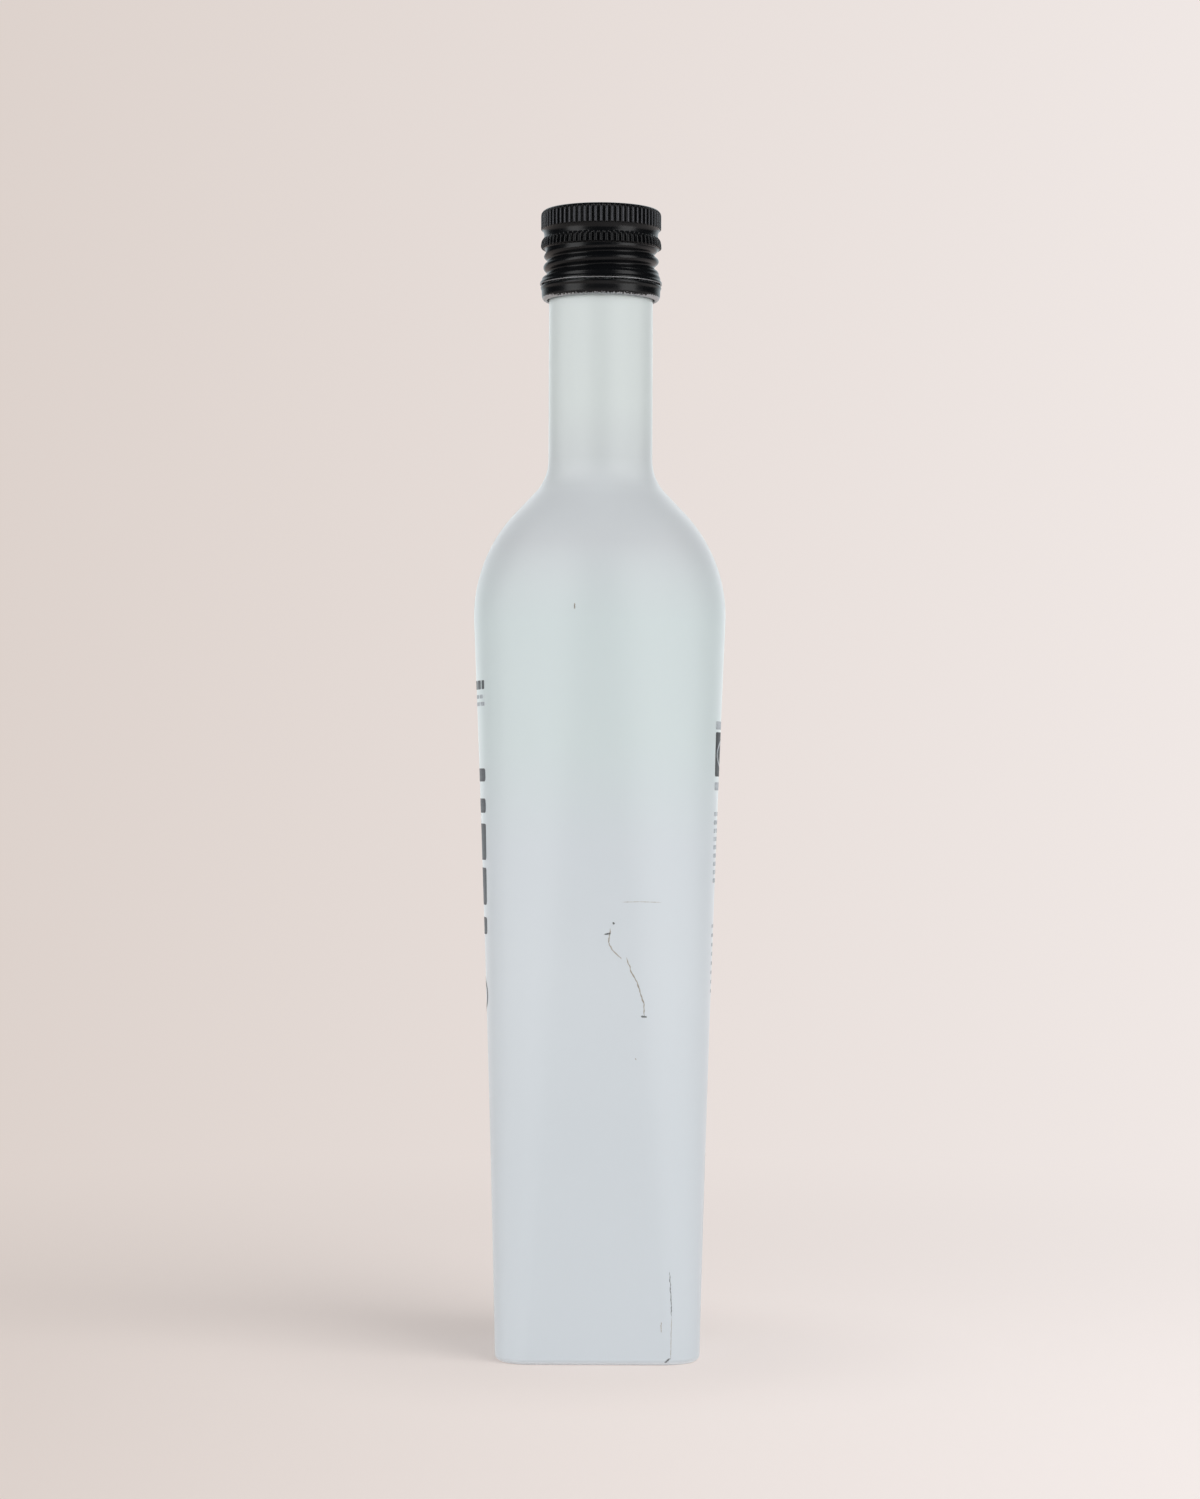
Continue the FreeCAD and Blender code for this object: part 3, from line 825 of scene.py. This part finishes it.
def studio_lamps(s, floor):
    """Six tall boxes that light the glass and its print, two for the black closure, and a
    high lamp that only draws the soft shadow on the paper, towards the back left."""
    # elevation in degrees, then metres
    tilt, away, tall, glass_aim, cap_aim = 4, 1.0, 2.0, 0.16, 0.28
    boxes = []
    for side, strengths in ((-1, s.boxes_left), (1, s.boxes_right)):
        for place, azimuth, wide, radiance in zip(
                ("front", "side", "rim"), (45, 85, 160), (0.8, 0.52, 0.26), strengths):
            name = f"{place}_softbox_{'left' if side < 0 else 'right'}"
            size = (wide, tall)
            boxes.append(softbox(name, side * azimuth, tilt, away, size, radiance, glass_aim))
    cap_boxes = [
        softbox(f"cap_softbox_{name}", azimuth, tilt, away, (0.6, tall), s.cap_boxes, cap_aim)
        for name, azimuth in (("left", -54), ("right", 54))]
    shadow_lamp = softbox("shadow_lamp", 45, 55, 1.25, (0.7, 0.7), s.key, 0.1)
    shadow_lamp.light_linking.receiver_collection = group_of("paper_only", [floor])

    pieces = [p for p in bpy.context.scene.objects if p.type == "MESH" and p != floor]
    black = [p for p in pieces if p.name in ("screw_cap_shell", "tamper_ring_band")]
    bottle = group_of("bottle_only", pieces)
    closure = group_of("closure_only", black)
    glass = group_of("glass_only", [p for p in pieces if p not in black])
    for lamps, lit in ((boxes, glass), (cap_boxes, closure)):
        for lamp in lamps:
            lamp.light_linking.receiver_collection = lit
            lamp.light_linking.blocker_collection = bottle


def studio_world(s):
    """The air round the bottle: the camera sees the paper's colours, reflections see a pale
    backdrop behind the bottle and a dim room before it, and all else gets an even fill that
    is weaker from overhead than from the sides."""
    world = bpy.data.worlds.new("studio_air")
    bpy.context.scene.world = world
    world.use_nodes = True
    tree = world.node_tree
    tree.nodes.clear()
    way = add_node(tree, "TexCoord")
    x, y, z = add_node(tree, "SeparateXYZ", links={"Vector": way.outputs["Generated"]}).outputs
    # rays that run backwards at more than 0.57 to 0.9 of their length meet the backdrop
    room = add_node(tree, "MapRange",
                    {"interpolation_type": "SMOOTHSTEP", "From Min": 0.57, "From Max": 0.9,
                     "To Min": s.room, "To Max": s.rim}, {"Value": y})
    path, seen = looked_at(tree)
    camera = path.outputs["Is Camera Ray"]
    strength = add_node(tree, "Mix", {"data_type": "FLOAT", 3: 1.0}, {0: camera, 2: room})
    tint = add_node(tree, "Mix", {"data_type": "RGBA", 6: (*s.rim_light, 1)},
                    {0: camera, 7: paper_tint(tree, x, s)})
    backdrop = add_node(tree, "Background", None, {"Color": tint.outputs[2], "Strength": strength})
    high = add_node(tree, "MapRange", {"To Min": s.fill, "To Max": s.fill * 0.15},
                    {"Value": z})
    fill = add_node(tree, "Background", {"Color": (1, 1, 1, 1)}, {"Strength": high})
    mix = add_node(tree, "MixShader", None, {"Fac": seen, 1: fill, 2: backdrop})
    add_node(tree, "OutputWorld", None, {"Surface": mix})


def studio_camera(s):
    """A level camera straight in front, its frame shifted upwards and turned by a hair."""
    camera = bpy.data.cameras.new("camera")
    camera.lens = s.lens
    camera.sensor_width = 36
    camera.shift_y = s.shift
    camera.clip_start, camera.clip_end = 0.01, 50
    viewer = bpy.data.objects.new("camera", camera)
    viewer.location = (0.2 * MM, -s.distance, s.eye)
    viewer.rotation_euler = (math.pi / 2, s.roll, 0)
    bpy.context.scene.collection.objects.link(viewer)
    bpy.context.scene.camera = viewer


# ------- operators
def material_named(name, make, *values):
    """The material of that name, made by make if it isn't there yet."""
    return bpy.data.materials.get(name) or make(name, *values)


def lay_on_glass(name, parts, material):
    """One thin piece on the glass, joined from its parts."""
    piece = add_piece(name, *joined(parts), material)


class OILBOTTLE_OT_glass(bpy.types.Operator):
    """Build the coated glass body"""
    bl_idname = "oil_bottle.glass"
    bl_label = "Glass body"

    def execute(self, context):
        g = context.scene.oil_bottle.glass
        material = material_named("sprayed_glass_coating", coated_glass_material, g)
        piece = add_piece("coated_glass_body", *closed_turning(*bottle_surface(g)), material)
        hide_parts("bottle")
        return {"FINISHED"}


class OILBOTTLE_OT_cap(bpy.types.Operator):
    """Build the knurled and threaded screw cap"""
    bl_idname = "oil_bottle.cap"
    bl_label = "Screw cap"

    def execute(self, context):
        c = context.scene.oil_bottle.closure
        material = material_named("stoved_black_lacquer", lacquer_material, c)
        piece = add_piece("screw_cap_shell", *closed_turning(*cap_surface(c)), material)
        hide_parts("cap")
        return {"FINISHED"}


class OILBOTTLE_OT_ring(bpy.types.Operator):
    """Build the tamper ring with its bridges"""
    bl_idname = "oil_bottle.ring"
    bl_label = "Tamper ring"

    def execute(self, context):
        c = context.scene.oil_bottle.closure
        band, faces = closed_band(*ring_surface(c))
        tabs, tab_faces = bridge_boxes(c)
        material = material_named("stoved_black_lacquer", lacquer_material, c)
        piece = add_piece("tamper_ring_band", np.vstack([band, tabs]),
                          faces + [tab_faces + len(band)], material)
        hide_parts("tamper_ring")
        return {"FINISHED"}


class OILBOTTLE_OT_print(bpy.types.Operator):
    """Lay the plain printed shapes on the two sides"""
    bl_idname = "oil_bottle.print"
    bl_label = "Printed shapes"

    def execute(self, context):
        g, p = context.scene.oil_bottle.glass, context.scene.oil_bottle.print
        half, right = p.left_half / MM, p.right_half / MM
        grey = material_named("screen_ink", ink_material, p.ink[:])
        dark = material_named("screen_ink_black", ink_material, p.panel_ink[:])
        pale = material_named("screen_ink_pale", ink_material, p.light_ink[:], 0.2)
        # heights over the foot, in millimetres: bars, a row of blocks above, an oval below
        bars = [(148.8, 152.2), (140.7, 144.4), (128.5, 137.9), (116.9, 126.5), (109.3, 113.7)]
        lay_on_glass("print_left", [
            printed_blocks(g, "left", [(z0, z1, -half, half) for z0, z1 in bars], 0.9 * MM),
            printed_blocks(g, "left", greeked_rows([172.7], 2.3, half, 3)),
            printed_oval(g, "left", 93.5, half, 6.0, 1.2)], grey)
        rows = greeked_rows([170.3, 168.4], 1.0, half, 4)
        lay_on_glass("print_left_pale", [printed_blocks(g, "left", rows, 0.2 * MM)], pale)
        # on the right a dark panel between two bars, with an oval in it and two sets of rows
        panel = [(150.3, 161.8, -right, right)]
        lay_on_glass("print_right", [printed_blocks(g, "right", panel, 0.6 * MM)], dark)
        light = [printed_blocks(g, "right", [(162.5, 164.6, -right, right),
                                             (146.7, 148.8, -right, right)])]
        for low, high, step, tall, seed in ((122.8, 142, 2.15, 1.1, 5), (94.3, 112, 2.4, 0.9, 6)):
            rows = greeked_rows(list(np.arange(low, high, step)), tall, right, seed)
            light.append(printed_blocks(g, "right", rows, 0.2 * MM))
        light.append(printed_oval(g, "right", 156.05, right - 1.2, 4.2, 0.9, lift=0.05 * MM))
        lay_on_glass("print_right_pale", light, pale)
        return {"FINISHED"}


class OILBOTTLE_OT_marks(bpy.types.Operator):
    """Lay the scratches, specks and the crack on the front"""
    bl_idname = "oil_bottle.marks"
    bl_label = "Marks of use"

    def execute(self, context):
        g, p = context.scene.oil_bottle.glass, context.scene.oil_bottle.print
        dirt = material_named("dirt_in_scratch", ink_material, p.dirt[:])
        chip = material_named("bare_crack_edge", ink_material, p.chip[:])
        # each mark has its places (across, height) and width in millimetres, and its seed
        scratches = [
            ([(5.8, 118.3), (10.5, 118.4), (16.0, 118.2)], 0.1, 1),
            ([(3.0, 111.6), (2.5, 108.1), (3.3, 106.3), (5.8, 103.8)], 0.26, 2),
            ([(7.1, 104.3), (8.4, 100.3), (9.7, 98.0), (10.8, 94.9), (11.5, 92.4), (11.7, 89.3)],
             0.28, 3),
            ([(18.9, 12.4), (18.8, 7.2), (18.7, 1.8)], 0.11, 6),
            ([(16.3, 11.3), (16.25, 8.5)], 0.16, 7),
            ([(-6.4, 194.0), (-6.35, 192.6)], 0.24, 4),
            ([(9.4, 78.6), (9.6, 78.2)], 0.16, 5)]
        cracks = [
            ([(18.3, 24.0), (18.6, 19.7), (18.8, 15.9), (18.9, 12.6)], 0.2, 6),
            ([(17.3, 0.9), (18.5, 1.9)], 0.3, 8),
            ([(1.5, 110.1), (3.1, 110.3)], 0.35, 9),
            ([(3.7, 113.1), (3.9, 112.7)], 0.35, 10),
            ([(10.8, 89.2), (12.2, 89.1)], 0.45, 11)]
        lay_on_glass("scratches", [scratch(g, *mark) for mark in scratches], dirt)
        lay_on_glass("crack_and_ticks", [scratch(g, *mark) for mark in cracks], chip)
        return {"FINISHED"}


class OILBOTTLE_OT_studio(bpy.types.Operator):
    """Set the floor, the lights, the world and the camera"""
    bl_idname = "oil_bottle.studio"
    bl_label = "Studio"

    def execute(self, context):
        s = context.scene.oil_bottle.studio
        span = np.linspace(-3, 3, 13)
        x, y = np.meshgrid(span, span)
        points = np.stack([x, y, np.zeros_like(x)], -1).reshape(-1, 3)
        material = material_named("matt_studio_paper", paper_material, s)
        floor = add_piece("paper_floor", points, [patch_grid(1, *x.shape)], material, body=None)
        studio_lamps(s, floor)
        studio_world(s)
        studio_camera(s)
        context.scene.view_settings.view_transform = "Standard"
        return {"FINISHED"}


class OILBOTTLE_PT_panel(bpy.types.Panel):
    """Buttons for each piece and for the studio"""
    bl_idname = "OILBOTTLE_PT_panel"
    bl_label = "Oil Bottle"
    bl_space_type = "VIEW_3D"
    bl_region_type = "UI"
    bl_category = "Oil Bottle"

    def draw(self, context):
        for step in STEPS:
            self.layout.operator(step.bl_idname)


STEPS = (OILBOTTLE_OT_glass, OILBOTTLE_OT_cap, OILBOTTLE_OT_ring, OILBOTTLE_OT_print,
         OILBOTTLE_OT_marks, OILBOTTLE_OT_studio)
CLASSES = (GlassSettings, ClosureSettings, PrintSettings, StudioSettings, OilBottleSettings,
           *STEPS, OILBOTTLE_PT_panel)


def register():
    for cls in CLASSES:
        bpy.utils.register_class(cls)
    bpy.types.Scene.oil_bottle = PointerProperty(type=OilBottleSettings)


def unregister():
    del bpy.types.Scene.oil_bottle
    for cls in reversed(CLASSES):
        bpy.utils.unregister_class(cls)


def main():
    """Build every piece in order."""
    register()
    for step in STEPS:
        group, name = step.bl_idname.split(".")
        if getattr(getattr(bpy.ops, group), name)() != {"FINISHED"}:
            raise RuntimeError(f"{step.bl_label} was not finished")


if __name__ == "__main__":
    main()
